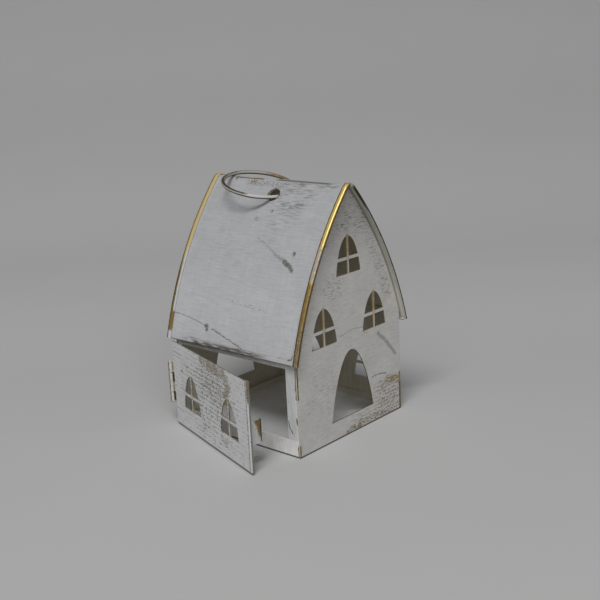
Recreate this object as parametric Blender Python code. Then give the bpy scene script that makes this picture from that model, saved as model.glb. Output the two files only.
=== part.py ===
"""House-shaped sheet-metal candle lantern, each piece as its own object.

The base stands on z = 0 with its middle at the origin. The ridge runs along Y, the
gable with the low doorway faces -Y, and the hinged door is on the -X side, ajar.
Sizes are in millimetres and become metres when a mesh is made.
"""
import math

import bmesh
import bpy
from mathutils import Matrix, Vector

MM = 0.001

# Sheet metal and the clearance between neighbouring pieces
SHEET = 0.7
GAP = 0.3

# Walls
BODY_WIDTH = 93.2
BODY_LENGTH = 94.6
WALL_FLANGE = 5.0
WALL_BEND = 0.6
TRAY_LIP = 5.0
TRAY_CORNER = 1.5

# Roof: each slope is an arc from the eave to the peak, rounded at the ridge. It sits
# a little askew, so the eave over the door is lower and the other one higher.
ROOF_PEAK = 146.0
ROOF_RADIUS = 212.0
RIDGE_BEND = 4.4
EAVE_HALF_WIDTH = 49.4
EAVE_HEIGHT = 56.0
EAVE_TILT = 1.3
ROOF_HALF_LENGTH = 50.3
HEM_RADIUS = 1.05
HEM_TURN = math.radians(230.0)

# Strip bound over each verge of the roof
VERGE_SHEET = 0.6
VERGE_FACE = 1.8
VERGE_LAP = 3.5
VERGE_BEND = 0.9
VERGE_DROP = 0.8

# Arched cut-outs: half width, height and roundness, where 2 is an ellipse
WINDOW_HALF_WIDTH = 10.6
WINDOW_HEIGHT = 21.4
WINDOW_ROUNDNESS = 1.5
CROSSBAR_LOW = 7.9
CROSSBAR_HIGH = 9.7
MULLION = 1.7
DOORWAY_HEIGHT = 39.0
DOORWAY_ROUNDNESS = 1.15

# Gable openings: middle along X and sill height
UPPER_WINDOW = (0.3, 94.2)
LOWER_WINDOWS = ((-22.6, 57.7), (22.2, 57.7))
FRONT_DOORWAY = (0.3, 11.2)
FRONT_DOORWAY_HALF_WIDTH = 19.0
REAR_DOORWAY = (-0.8, 15.0)
REAR_DOORWAY_HALF_WIDTH = 18.3

# Windows of the plain side wall: middle along Y and sill height
SIDE_WINDOWS = ((-23.2, 15.2), (23.2, 15.2))

# Opening behind the hinged door
OPENING_FRONT = -39.3
OPENING_REAR = 42.9
OPENING_SILL = 9.5
OPENING_TOP = 50.2

# Hinged door: its edges are given closed, and it stands ajar in the model
DOOR_FACE = -49.1
DOOR_REAR = 47.8
DOOR_WIDTH = 92.7
DOOR_BOTTOM = 0.8
DOOR_TOP = 52.4
DOOR_AJAR = math.radians(17.45)
DOOR_HEM = 3.0
DOOR_HEM_SLIT = 0.2
DOOR_WINDOWS = (22.9, 68.9)
DOOR_WINDOW_SILL = 14.5

# Hinge
HINGE_X = -50.1
HINGE_Y = 50.6
HINGE_BOTTOM = 14.2
KNUCKLE_PITCH = 6.1
LEAF = 0.4
KNUCKLE_RADIUS = 1.3
KNUCKLE_CURL = math.radians(270.0)
PIN_RADIUS = 0.55
PIN_HEAD_RADIUS = 1.15
PIN_HEAD = 0.6

# Catch on the inside of the door
CATCH_SHEET = 0.6
CATCH_BOTTOM = 14.0
CATCH_TOP = 27.0
CATCH_FLAT = 5.4
CATCH_REACH = 11.6
CATCH_BULGE = 1.1

# Hanging ring: it turns about the line between the two places where it threads the roof
RING_RADIUS = 20.75
RING_WIRE = 1.1
RING_REST = math.radians(13.85)
RING_LEFT_PIVOT = (-8.96, -3.19, 135.11)
RING_RIGHT_PIVOT = (8.07, -2.05, 136.20)
HOLE_RADIUS = 3.8
HOLE_Y = -1.95
HOLE_Z = 136.05

WALL_X = BODY_WIDTH / 2
GABLE_Y = BODY_LENGTH / 2
SIDE_Y = GABLE_Y - SHEET - GAP


def clear_scene():
    for thing in list(bpy.data.objects):
        bpy.data.objects.remove(thing)


def make_material(name, colour, roughness, metallic):
    material = bpy.data.materials.new(name)
    material.use_nodes = True
    shader = material.node_tree.nodes["Principled BSDF"]
    shader.inputs["Base Color"].default_value = (*colour, 1.0)
    shader.inputs["Roughness"].default_value = roughness
    shader.inputs["Metallic"].default_value = metallic
    material.diffuse_color = (*colour, 1.0)
    return material


def finish_piece(name, bm, material, parent=None, smooth=True):
    """Turns a mesh built in millimetres into an object in metres."""
    bmesh.ops.recalc_face_normals(bm, faces=bm.faces)
    if bm.calc_volume(signed=True) < 0.0:
        bmesh.ops.reverse_faces(bm, faces=bm.faces)
    bmesh.ops.scale(bm, vec=(MM, MM, MM), verts=bm.verts)
    mesh = bpy.data.meshes.new(name)
    bm.to_mesh(mesh)
    bm.free()
    if smooth:
        mesh.shade_smooth()
        mesh.set_sharp_from_angle(angle=math.radians(30.0))
    piece = bpy.data.objects.new(name, mesh)
    bpy.context.scene.collection.objects.link(piece)
    if material is not None:
        mesh.materials.append(material)
    piece.parent = parent
    return piece


def make_axis(name, location, rotation):
    """An empty on a joint's axis, which carries the pieces that move about it."""
    axis = bpy.data.objects.new(name, None)
    axis.location = Vector(location) * MM
    axis.rotation_euler = rotation
    bpy.context.scene.collection.objects.link(axis)
    return axis


def cut(piece, cutter):
    """Cuts a piece with a hidden cutter by an exact Boolean."""
    cutter.hide_render = True
    cutter.display_type = "WIRE"
    modifier = piece.modifiers.new(cutter.name, "BOOLEAN")
    modifier.operation = "DIFFERENCE"
    modifier.solver = "EXACT"
    modifier.object = cutter


def loft(bm, rings):
    """Skins a row of closed rings and closes both ends."""
    rows = [[bm.verts.new(point) for point in ring] for ring in rings]
    for low, high in zip(rows, rows[1:]):
        for i in range(len(low)):
            j = (i + 1) % len(low)
            bm.faces.new((low[i], low[j], high[j], high[i]))
    bm.faces.new(rows[0])
    bm.faces.new(rows[-1][::-1])


def plate(bm, outline, near, far, place):
    """A flat plate between two depths."""
    loft(bm, [[place(u, v, depth) for u, v in outline] for depth in (near, far)])


def arc(centre, radius, start, stop, steps):
    """Points on an arc, both ends included."""
    points = []
    for i in range(steps + 1):
        angle = start + (stop - start) * i / steps
        points.append((centre[0] + radius * math.cos(angle), centre[1] + radius * math.sin(angle)))
    return points


def sheet_sides(path, thickness):
    """The two faces of a bent sheet of even thickness, from its middle line."""
    left = []
    right = []
    for i, point in enumerate(path):
        here = Vector(point)
        legs = [here - Vector(path[i - 1])] if i > 0 else []
        if i + 1 < len(path):
            legs.append(Vector(path[i + 1]) - here)
        normals = [Vector((-leg.y, leg.x)).normalized() for leg in legs]
        middle = sum(normals, Vector((0.0, 0.0))).normalized()
        reach = 0.5 * thickness / middle.dot(normals[0])
        left.append(tuple(here + middle * reach))
        right.append(tuple(here - middle * reach))
    return left, right


def bent_sheet(bm, path, thickness, levels, place, is_metal=None):
    """A bent sheet as a grid of cells, along its middle line and across its levels.

    place turns (u, v, level) into a point, and is_metal tells which cells are there.
    """
    sides = sheet_sides(path, thickness)
    steps, rows = len(path) - 1, len(levels) - 1
    corners = {}

    def present(step, row):
        inside = 0 <= step < steps and 0 <= row < rows
        return inside and (is_metal is None or is_metal(step, row))

    def face(*keys):
        for key in keys:
            if key not in corners:
                side, step, level = key
                corners[key] = bm.verts.new(place(*sides[side][step], levels[level]))
        bm.faces.new([corners[key] for key in keys])

    for step in range(steps):
        for row in range(rows):
            if not present(step, row):
                continue
            for side in (0, 1):
                face((side, step, row), (side, step + 1, row), (side, step + 1, row + 1), (side, step, row + 1))
            for end in (0, 1):
                if not present(step + 2 * end - 1, row):
                    at = step + end
                    face((0, at, row), (1, at, row), (1, at, row + 1), (0, at, row + 1))
                if not present(step, row + 2 * end - 1):
                    at = row + end
                    face((0, step, at), (0, step + 1, at), (1, step + 1, at), (1, step, at))


def on_gable(x, z, y):
    """A point of a gable from its place on the wall and its depth."""
    return (x, y, z)


def on_side(y, z, x):
    """A point of a side wall from its place on the wall and its depth."""
    return (x, y, z)


def on_door_axis(x, y, z):
    """A point of the closed door, seen from the foot of the hinge's axis."""
    return (x - HINGE_X, y - HINGE_Y, z)


def arch_point(half_width, height, roundness, angle):
    return (half_width * math.cos(angle), height * math.sin(angle) ** (2.0 / roundness))


def arch_angle(height, roundness, rise):
    """Where an arch of this height passes a given rise."""
    return math.asin((rise / height) ** (roundness / 2.0))


def doorway(middle, sill, half_width):
    """An arched doorway, as one closed loop."""
    steps = 15
    right = [arch_point(half_width, DOORWAY_HEIGHT, DOORWAY_ROUNDNESS, 0.5 * math.pi * i / steps)
             for i in range(steps + 1)]
    left = [(-x, z) for x, z in right[-2::-1]]
    return [(middle + x, sill + z) for x, z in right + left]


def window_panes(middle, sill):
    """The four panes that a crossbar and a mullion leave in an arched window."""
    size = (WINDOW_HALF_WIDTH, WINDOW_HEIGHT, WINDOW_ROUNDNESS)
    bar = MULLION / 2
    low_angle = arch_angle(WINDOW_HEIGHT, WINDOW_ROUNDNESS, CROSSBAR_LOW)
    high_angle = arch_angle(WINDOW_HEIGHT, WINDOW_ROUNDNESS, CROSSBAR_HIGH)
    top_angle = math.acos(bar / WINDOW_HALF_WIDTH)
    low_side = [arch_point(*size, low_angle * i / 3) for i in range(4)]
    high_side = [arch_point(*size, high_angle + (top_angle - high_angle) * i / 7) for i in range(8)]
    low_pane = [(bar, 0.0)] + low_side + [(bar, CROSSBAR_LOW)]
    high_pane = [(bar, CROSSBAR_HIGH)] + high_side
    panes = []
    for pane in (low_pane, high_pane):
        panes.append([(middle + x, sill + z) for x, z in pane])
        panes.append([(middle - x, sill + z) for x, z in pane])
    return panes


def roof_centre():
    """Centre of the right slope's arc through the eave and the peak."""
    dx, dz = EAVE_HALF_WIDTH, EAVE_HEIGHT - ROOF_PEAK
    chord = math.hypot(dx, dz)
    depth = math.sqrt(ROOF_RADIUS ** 2 - chord ** 2 / 4)
    return (dx / 2 + depth * dz / chord, (EAVE_HEIGHT + ROOF_PEAK) / 2 - depth * dx / chord)


def roof_slope(eave_height):
    """Points of the right slope's outer line with their outward normals, eave to ridge."""
    cx, cz = roof_centre()
    bend_z = cz + math.sqrt((ROOF_RADIUS - RIDGE_BEND) ** 2 - cx ** 2)
    low = math.asin((eave_height - cz) / ROOF_RADIUS)
    high = math.atan2(bend_z - cz, -cx)
    slope_steps, ridge_steps = 16, 5
    slope = []
    for i in range(slope_steps + 1):
        angle = low + (high - low) * i / slope_steps
        normal = (math.cos(angle), math.sin(angle))
        slope.append(((cx + ROOF_RADIUS * normal[0], cz + ROOF_RADIUS * normal[1]), normal))
    for i in range(1, ridge_steps + 1):
        angle = high + (math.pi / 2 - high) * i / ridge_steps
        normal = (math.cos(angle), math.sin(angle))
        slope.append(((RIDGE_BEND * normal[0], bend_z + RIDGE_BEND * normal[1]), normal))
    return slope


def mirrored(station):
    (x, z), (nx, nz) = station
    return ((-x, z), (-nx, nz))


def roof_stations():
    """The roof's outer line from the right eave to the left one."""
    right = roof_slope(EAVE_HEIGHT + EAVE_TILT)
    left = roof_slope(EAVE_HEIGHT - EAVE_TILT)
    return right + [mirrored(station) for station in left[-2::-1]]


def offset_point(station, distance):
    (x, z), (nx, nz) = station
    return (x + distance * nx, z + distance * nz)


def height_under_roof(x, inset):
    """Height at which a line inset from the roof's outer surface crosses a given X."""
    cx, cz = roof_centre()
    return cz + math.sqrt((ROOF_RADIUS - inset) ** 2 - (x - cx) ** 2)


def gable_outline():
    """Gable edge: straight sides, then just under the roof sheet to the ridge."""
    inset = SHEET + GAP
    shoulder = height_under_roof(WALL_X, inset)
    under_roof = [offset_point(station, -inset) for station in roof_stations()]
    under_roof = [point for point in under_roof if abs(point[0]) < WALL_X - 0.5]
    sides = [(-WALL_X, shoulder), (-WALL_X, 0.0), (WALL_X, 0.0), (WALL_X, shoulder)]
    return sides + under_roof


def cut_openings(piece, loops, low, high, place, parent=None):
    """Cuts through a sheet along closed loops."""
    bm = bmesh.new()
    for loop in loops:
        plate(bm, loop, low, high, place)
    cut(piece, finish_piece(piece.name + "_openings", bm, None, parent, smooth=False))


def make_gable(name, side, entrance, material):
    """A gable wall with its doorway and three windows; side is -1 at the front."""
    inner, outer = side * (GABLE_Y - SHEET), side * GABLE_Y
    bm = bmesh.new()
    plate(bm, gable_outline(), inner, outer, on_gable)
    gable = finish_piece(name, bm, material)

    loops = [entrance]
    for middle, sill in (UPPER_WINDOW, *LOWER_WINDOWS):
        loops += window_panes(middle, sill)
    cut_openings(gable, loops, inner - side, outer + side, on_gable)


def wall_path(breaks=()):
    """Middle line of a side wall from above, its two ends folded in behind the gables."""
    face = WALL_X - SHEET / 2
    end = SIDE_Y - SHEET / 2
    bend = WALL_BEND
    path = [(face - WALL_FLANGE, -end)]
    path += arc((face - bend, -end + bend), bend, -math.pi / 2, 0.0, 4)
    path += [(face, y) for y in breaks]
    path += arc((face - bend, end - bend), bend, 0.0, math.pi / 2, 4)
    return path + [(face - WALL_FLANGE, end)]


def make_door_side_wall(material):
    """The wall behind the hinged door, nearly all of it a wide opening."""
    levels = (0.0, OPENING_SILL, OPENING_TOP, height_under_roof(WALL_X, SHEET + GAP))
    path = wall_path((OPENING_FRONT, OPENING_REAR))
    opening = (path.index((WALL_X - SHEET / 2, OPENING_FRONT)), 1)
    bm = bmesh.new()
    bent_sheet(bm, path, SHEET, levels, lambda x, y, z: (-x, y, z), lambda *cell: cell != opening)
    finish_piece("door_side_wall", bm, material)


def make_window_side_wall(material):
    levels = (0.0, height_under_roof(WALL_X, SHEET + GAP))
    bm = bmesh.new()
    bent_sheet(bm, wall_path(), SHEET, levels, lambda x, y, z: (x, y, z))
    wall = finish_piece("window_side_wall", bm, material)

    panes = [pane for middle, sill in SIDE_WINDOWS for pane in window_panes(middle, sill)]
    cut_openings(wall, panes, WALL_X - 2.0, WALL_X + 2.0, on_side)


def rounded_rectangle(half_x, half_y, radius):
    corners = ((half_x, half_y, 0.0), (-half_x, half_y, 0.5), (-half_x, -half_y, 1.0), (half_x, -half_y, 1.5))
    points = []
    for x, y, turn in corners:
        centre = (x - math.copysign(radius, x), y - math.copysign(radius, y))
        points += arc(centre, radius, turn * math.pi, (turn + 0.5) * math.pi, 3)
    return points


def make_floor_tray(material):
    """The floor: a shallow tray with its edges turned up inside the walls."""
    half_x = WALL_X - SHEET - GAP
    half_y = SIDE_Y - SHEET - GAP
    outer = rounded_rectangle(half_x, half_y, TRAY_CORNER)
    inner = rounded_rectangle(half_x - SHEET, half_y - SHEET, TRAY_CORNER - SHEET)
    bm = bmesh.new()
    loft(bm, [[(x, y, 0.0) for x, y in outer], [(x, y, TRAY_LIP) for x, y in outer],
              [(x, y, TRAY_LIP) for x, y in inner], [(x, y, SHEET) for x, y in inner]])
    finish_piece("floor_tray", bm, material)


def eave_hem(eave):
    """Middle line of the hollow hem rolled in at the right eave, from its free edge."""
    nx, nz = eave[1]
    start = math.atan2(nz, nx)
    return arc(offset_point(eave, -HEM_RADIUS), HEM_RADIUS - SHEET / 2, start - HEM_TURN, start, 9)[:-1]


def roof_path():
    """Middle line of the roof sheet, from the free edge of one hem to that of the other."""
    stations = roof_stations()
    middle = [offset_point(station, -SHEET / 2) for station in stations]
    left_hem = [(-x, z) for x, z in eave_hem(mirrored(stations[-1]))]
    return eave_hem(stations[0]) + middle + left_hem[::-1]


def make_roof(material):
    verges = (-ROOF_HALF_LENGTH, ROOF_HALF_LENGTH)
    bm = bmesh.new()
    bent_sheet(bm, roof_path(), SHEET, verges, lambda x, z, y: (x, y, z))
    roof = finish_piece("roof_sheet", bm, material)

    cx, cz = roof_centre()
    rise = math.asin((HOLE_Z - cz) / ROOF_RADIUS)
    hole_x = cx + ROOF_RADIUS * math.cos(rise)
    for side, name in ((1, "right_hole_cutter"), (-1, "left_hole_cutter")):
        drill = Vector((side * math.cos(rise), 0.0, math.sin(rise)))
        across = Vector((0.0, 1.0, 0.0))
        along = drill.cross(across)
        middle = Vector((side * hole_x, HOLE_Y, HOLE_Z))
        rings = []
        for depth in (-4.0, 4.0):
            turn = arc((0.0, 0.0), HOLE_RADIUS, 0.0, 2 * math.pi, 24)[:-1]
            rings.append([tuple(middle + drill * depth + across * u + along * v) for u, v in turn])
        bm = bmesh.new()
        loft(bm, rings)
        cut(roof, finish_piece(name, bm, None))


def verge_section(side, face_width):
    """Section of a verge strip as (offset from the roof, Y) points."""
    outside = GAP + VERGE_SHEET
    front = ROOF_HALF_LENGTH + GAP + VERGE_SHEET
    bend = arc((outside - VERGE_BEND, front - VERGE_BEND), VERGE_BEND, math.pi / 2, 0.0, 4)
    points = [(outside - face_width, front - VERGE_SHEET), (outside - face_width, front)]
    points += bend
    points += [(outside, front - VERGE_LAP), (GAP, front - VERGE_LAP), (GAP, front - VERGE_SHEET)]
    return [(offset, side * y) for offset, y in points]


def verge_foot(eave):
    """The rounded end of a verge strip below the right eave, as (station, face width) pairs."""
    (x, z), (nx, nz) = eave
    foot = []
    for i in range(4):
        below = VERGE_DROP * math.cos(0.5 * math.pi * i / 4)
        narrowing = VERGE_DROP - math.sqrt(VERGE_DROP ** 2 - below ** 2)
        foot.append((((x + below * nz, z - below * nx), (nx, nz)), VERGE_FACE - narrowing))
    return foot


def make_verge_strip(name, side, material):
    """A strip bent over the roof's verge, its two lower ends rounded off."""
    stations = roof_stations()
    left_foot = [(mirrored(station), width) for station, width in verge_foot(mirrored(stations[-1]))]
    row = verge_foot(stations[0]) + [(station, VERGE_FACE) for station in stations] + left_foot[::-1]
    rings = []
    for station, width in row:
        ring = []
        for offset, y in verge_section(side, width):
            px, pz = offset_point(station, offset)
            ring.append((px, y, pz))
        rings.append(ring)
    bm = bmesh.new()
    loft(bm, rings)
    finish_piece(name, bm, material)


def leaf_path(flat_x, flat_end, notch_y, bend_y):
    """Middle line of a hinge leaf from above: its flat, a bend, then a curl round the pin."""
    radius = KNUCKLE_RADIUS - LEAF / 2
    dx, dy = flat_x - HINGE_X, bend_y - HINGE_Y
    start = math.atan2(dy, dx) + math.acos(radius / math.hypot(dx, dy))
    path = [(flat_x, flat_end), (flat_x, notch_y), (flat_x, bend_y)]
    return path + arc((HINGE_X, HINGE_Y), radius, start, start + KNUCKLE_CURL, 14)


def make_hinge_leaf(name, path, first, place, parent, material):
    """A leaf with two knuckles, the first in the lowest place or in the one above it."""
    shift = GAP / 2 if first else -GAP / 2
    levels = [HINGE_BOTTOM + k * KNUCKLE_PITCH for k in range(5)]
    for k in (1, 2, 3):
        levels[k] += shift if k % 2 else -shift
    bm = bmesh.new()
    bent_sheet(bm, path, LEAF, levels, place, lambda step, row: step == 0 or row % 2 == first)
    finish_piece(name, bm, material, parent)


def make_hinge_pin(material):
    """The wire pin with a domed head beyond each end knuckle."""
    low = HINGE_BOTTOM - GAP
    high = HINGE_BOTTOM + 4 * KNUCKLE_PITCH + GAP
    head, dome = PIN_HEAD_RADIUS, PIN_HEAD
    profile = [(0.4 * head, low - dome), (0.8 * head, low - 0.75 * dome), (head, low - 0.3 * dome),
               (head, low), (PIN_RADIUS, low), (PIN_RADIUS, high), (head, high),
               (head, high + 0.3 * dome), (0.8 * head, high + 0.75 * dome), (0.4 * head, high + dome)]
    rings = []
    for radius, z in profile:
        turn = arc((HINGE_X, HINGE_Y), radius, 0.0, 2 * math.pi, 16)[:-1]
        rings.append([(x, y, z) for x, y in turn])
    bm = bmesh.new()
    loft(bm, rings)
    finish_piece("hinge_pin", bm, material)


def door_path():
    """Middle line of the door sheet from above, with its free edge hemmed inwards."""
    face = DOOR_FACE + SHEET / 2
    free = DOOR_REAR - DOOR_WIDTH
    hem_radius = (SHEET + DOOR_HEM_SLIT) / 2
    path = [(face, DOOR_REAR)]
    path += arc((face + hem_radius, free + hem_radius + SHEET / 2), hem_radius, math.pi, 2 * math.pi, 6)
    path += [(face + 2 * hem_radius, free + DOOR_HEM)]
    return path


def make_door_panel(parent, material):
    bm = bmesh.new()
    bent_sheet(bm, door_path(), SHEET, (DOOR_BOTTOM, DOOR_TOP), on_door_axis)
    door = finish_piece("door_panel", bm, material, parent)

    panes = []
    for along in DOOR_WINDOWS:
        panes += window_panes(DOOR_REAR - HINGE_Y - along, DOOR_WINDOW_SILL)
    face = DOOR_FACE - HINGE_X
    cut_openings(door, panes, face - 1.0, face + SHEET + 1.0, on_side, parent)


def catch_path():
    """Middle line of the catch from above: a flat on the door, then a bowed tongue."""
    flat_x = DOOR_FACE + SHEET + GAP + CATCH_SHEET / 2
    bend = 1.2
    root_y = OPENING_FRONT + 2.3
    tip_x = DOOR_FACE + CATCH_REACH
    root_x = flat_x + bend
    bow_end = tip_x - 1.4
    half = (bow_end - root_x) / 2
    bow_radius = (half ** 2 + CATCH_BULGE ** 2) / (2 * CATCH_BULGE)
    spread = math.asin(half / bow_radius)
    bow_centre = (root_x + half, root_y - CATCH_BULGE + bow_radius)
    path = [(flat_x, root_y + CATCH_FLAT)]
    path += arc((root_x, root_y + bend), bend, math.pi, 1.5 * math.pi, 5)
    path += arc(bow_centre, bow_radius, 1.5 * math.pi - spread, 1.5 * math.pi + spread, 8)[1:]
    path += [(tip_x, root_y + 1.3)]
    return path


def make_door_catch(parent, material):
    """A springy tongue that grips the lip of the opening when the door is shut."""
    bm = bmesh.new()
    bent_sheet(bm, catch_path(), CATCH_SHEET, (CATCH_BOTTOM, CATCH_TOP), on_door_axis)
    finish_piece("door_catch", bm, material, parent)


def ring_frame():
    """Middle of the ring's turning line, half its length, and its rotation at rest."""
    left, right = Vector(RING_LEFT_PIVOT), Vector(RING_RIGHT_PIVOT)
    along = (right - left).normalized()
    level = Vector((-along.y, along.x, 0.0)).normalized()
    rise = along.cross(level)
    lie = level * math.cos(RING_REST) + rise * math.sin(RING_REST)
    turn = Matrix((along, lie, along.cross(lie))).transposed()
    return (left + right) / 2, (right - left).length / 2, turn.to_euler()


def make_ring(parent, half_chord, material):
    """The wire ring, round and closed, threaded through both holes of the roof."""
    depth = math.sqrt(RING_RADIUS ** 2 - half_chord ** 2)
    turns, sides = 48, 10
    rows = []
    bm = bmesh.new()
    for i in range(turns):
        angle = 2 * math.pi * i / turns
        row = []
        for j in range(sides):
            around = 2 * math.pi * j / sides
            reach = RING_RADIUS + RING_WIRE * math.cos(around)
            row.append(bm.verts.new((reach * math.cos(angle), depth + reach * math.sin(angle),
                                     RING_WIRE * math.sin(around))))
        rows.append(row)
    for i in range(turns):
        for j in range(sides):
            here, there = rows[i], rows[(i + 1) % turns]
            k = (j + 1) % sides
            bm.faces.new((here[j], there[j], there[k], here[k]))
    finish_piece("hanging_ring", bm, material, parent)


def main():
    clear_scene()
    white = make_material("worn_white_paint", (0.62, 0.62, 0.61), 0.55, 0.1)
    shaded = make_material("inside_paint", (0.40, 0.40, 0.38), 0.6, 0.1)
    gold = make_material("rubbed_gold", (0.62, 0.45, 0.16), 0.35, 0.8)
    wire = make_material("painted_wire", (0.55, 0.52, 0.45), 0.45, 0.4)

    make_gable("front_gable", -1, doorway(*FRONT_DOORWAY, FRONT_DOORWAY_HALF_WIDTH), white)
    make_gable("rear_gable", 1, doorway(*REAR_DOORWAY, REAR_DOORWAY_HALF_WIDTH), white)
    make_door_side_wall(white)
    make_window_side_wall(white)
    make_floor_tray(shaded)
    make_roof(white)
    make_verge_strip("front_verge_strip", -1, gold)
    make_verge_strip("rear_verge_strip", 1, gold)

    wall_leaf_x = -WALL_X - GAP - LEAF / 2
    wall_leaf = leaf_path(wall_leaf_x, OPENING_REAR + 0.5, GABLE_Y - 0.6, GABLE_Y)
    make_hinge_leaf("wall_hinge_leaf", wall_leaf, 1, lambda x, y, z: (x, y, z), None, white)
    make_hinge_pin(wire)

    door_axis = make_axis("door_axis", (HINGE_X, HINGE_Y, 0.0), (0.0, 0.0, -DOOR_AJAR))
    make_door_panel(door_axis, white)
    door_leaf_x = DOOR_FACE + SHEET + GAP + LEAF / 2
    door_leaf = leaf_path(door_leaf_x, DOOR_REAR - 8.0, DOOR_REAR - 1.0, DOOR_REAR - 0.2)
    make_hinge_leaf("door_hinge_leaf", door_leaf, 0, on_door_axis, door_axis, white)
    make_door_catch(door_axis, white)

    middle, half_chord, turn = ring_frame()
    ring_axis = make_axis("ring_axis", middle, turn)
    make_ring(ring_axis, half_chord, wire)


main()
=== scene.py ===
"""Looks for the lantern: worn white paint over gold on sheet metal, a pale floor and soft light."""

import math

import bpy
from mathutils import Matrix, Quaternion, Vector

# Camera, fitted to the photo: lens and sensor in millimetres, place in metres, turns in degrees
LENS = 60.217
SENSOR_WIDTH = 36.0
CLIP_START = 0.01
CAMERA_PLACE = (-0.4205, -0.3878, 0.2244)
CAMERA_YAW = 48.106
CAMERA_PITCH = 14.93
CAMERA_ROLL = 2.753

# Lamps: direction (0 is the front and -90 the left), elevation, width and height in metres,
# turn about its own axis, and power in watts
LAMP_DISTANCE = 3.0
LAMP_TARGET = (0.0, 0.0, 0.07)
KEY_LAMP = (-62.0, 55.0, 1.65, 0.24, 22.0, 42.5)
FILL_LAMP = (-66.0, 36.0, 2.20, 2.20, 0.0, 8.5)
FRONT_LAMP = (-30.0, 34.0, 1.20, 1.20, 0.0, 13.0)
SKY_STRENGTH = 0.115

# Stage, in metres: how far ahead the backdrop bends up, its bend's radius and its slope in
# degrees, then the same for the other three sides, the step between the flat floor's rows and
# the stage's reach each way
FLOOR_ALBEDO = 0.560
FLOOR_ROUGHNESS = 0.85
BACKDROP_BEND = (0.45, 0.9, 38.0)
BACKDROP_BEND_DEPTH = 0.6
BACKDROP_STEPS = 20
SIDE_BEND = (5.0, 2.0, 45.0)
SIDE_STEPS = 10
ROW_STEP = 2.0
STAGE_REACH = 9.0

# Painted light and shade on the floor, in place of how the lamps' light falls off: changes of
# its tone, from where to where, in millimetres behind the object, and by how much. The last is by distance
# all round.
FLOOR_PAINTED_LIGHT_TONES = ((40.0, 240.0, 0.08), (600.0, 950.0, -0.14))
FAR_FLOOR_PAINTED_LIGHT = (1500.0, 4000.0, 0.6)

# Colours of the bare metal, from dark to bright, and where each stands on the scale of tones
UMBER = (0.034, 0.027, 0.018)
BROWN = (0.170, 0.110, 0.042)
GOLD = (0.500, 0.350, 0.100)
BRIGHT_GOLD = (0.900, 0.680, 0.230)
METAL_TONES = ((0.0, UMBER), (0.35, BROWN), (0.7, GOLD), (1.0, BRIGHT_GOLD))

# Colours of the paint
WHITE = (0.680, 0.685, 0.698)
# The roof's white is darker than the walls' to offset the stronger lamp light on the roof: painted shade
ROOF_WHITE_PAINTED_SHADE = (0.532, 0.537, 0.551)
DOOR_WHITE = (0.735, 0.737, 0.740)
STRIP_WHITE = (0.400, 0.396, 0.388)
STRIP_GREY = (0.580, 0.562, 0.490)
# A paler white for the lintel and sill of the door's side wall: painted light
PAINTED_LIGHT_WHITE = (0.860, 0.852, 0.835)
WARM_WHITE = (0.652, 0.643, 0.620)
RING_GREY = (0.440, 0.430, 0.400)
RING_WHITE = (0.580, 0.580, 0.575)
CREAM = (0.660, 0.640, 0.580)
INNER_DOOR = (0.500, 0.480, 0.430)
INSIDE = (0.660, 0.620, 0.500)
# Pale grey of the tray's flat, made paler partly as painted light inside the house
TRAY_GREY_AND_PAINTED_LIGHT = (0.860, 0.870, 0.890)
UNDER_ROOF = (0.570, 0.558, 0.485)
# Dark undercoat, also used as painted shade at the feet, under the eave, beside the gables and at the apex
UNDERCOAT_AND_SHADE = (0.100, 0.092, 0.080)

# How the paint and the metal shine, and the height of the paint's relief in millimetres
PAINT_ROUGHNESS = 0.6
METAL_ROUGHNESS = 0.42
METAL_SHARE = 0.5
PAINT_RELIEF = 0.02

# Places on the part, in millimetres: the right roof hole, the right slope's centre and radius,
# the door's axis and its angle at rest
HOLE = (8.66, -1.95, 136.05)
ROOF_CENTRE = (-155.6, 2.0)
ROOF_RADIUS = 212.0
DOOR_AXIS = (-50.1, 50.6)
DOOR_ANGLE = math.radians(17.45)
SIN_DOOR = math.sin(DOOR_ANGLE)
COS_DOOR = math.cos(DOOR_ANGLE)

# Windows: middle and sill of each one in a gable, and their height. In the door, their middles
# along it and their sill and top. Then the rubbed edges of an upright bar, from its middle.
GABLE_WINDOWS = ((0.3, 94.2), (-22.6, 57.7), (22.2, 57.7))
WINDOW_HEIGHT = 21.4
DOOR_WINDOWS = (25.7, 71.7)
DOOR_WINDOW_RANGE = (14.5, 36.5)
BAR_EDGES = (0.42, 0.9, 0.12)

# Marks, in millimetres. Strokes: points, width, softness and strength.
# Spots: middle, radii and strength. On the roof they lie along Y and Z, on the door's slope.
ROOF_WORN = (
    ((-17.0, 136.0), (26.0, 11.0), 0.46),
    ((-16.0, 125.0), (18.0, 12.0), 0.22),
    ((10.0, 108.0), (34.0, 16.0), 0.10),
)
ROOF_CRACKS = (
    (((47.7, 68.8), (36.0, 67.9), (25.7, 66.3), (20.3, 64.3)), 0.1, 0.4, 0.55),
    (((15.5, 64.0), (0.8, 60.0), (-9.0, 57.2)), 0.15, 0.5, 0.8),
    (((-3.0, 114.3), (-12.3, 111.0), (-19.4, 107.2)), 0.1, 0.9, 0.30),
    (((-19.4, 107.2), (-27.9, 104.5)), 0.2, 1.1, 0.5),
    (((-27.0, 104.6), (-32.0, 102.5), (-34.0, 100.7)), 0.7, 1.1, 1.0),
)
ROOF_SPOTS = (
    ((20.0, 65.0), (2.6, 1.6), 1.0),
    ((19.4, 62.9), (1.5, 1.5), 1.0),
    ((-32.5, 108.9), (1.9, 1.7), 1.0),
    ((-5.9, 128.3), (1.2, 1.2), 1.0),
    ((32.2, 143.0), (1.0, 1.6), 1.0),
    ((3.0, 123.6), (2.4, 1.6), 0.4),
)
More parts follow.
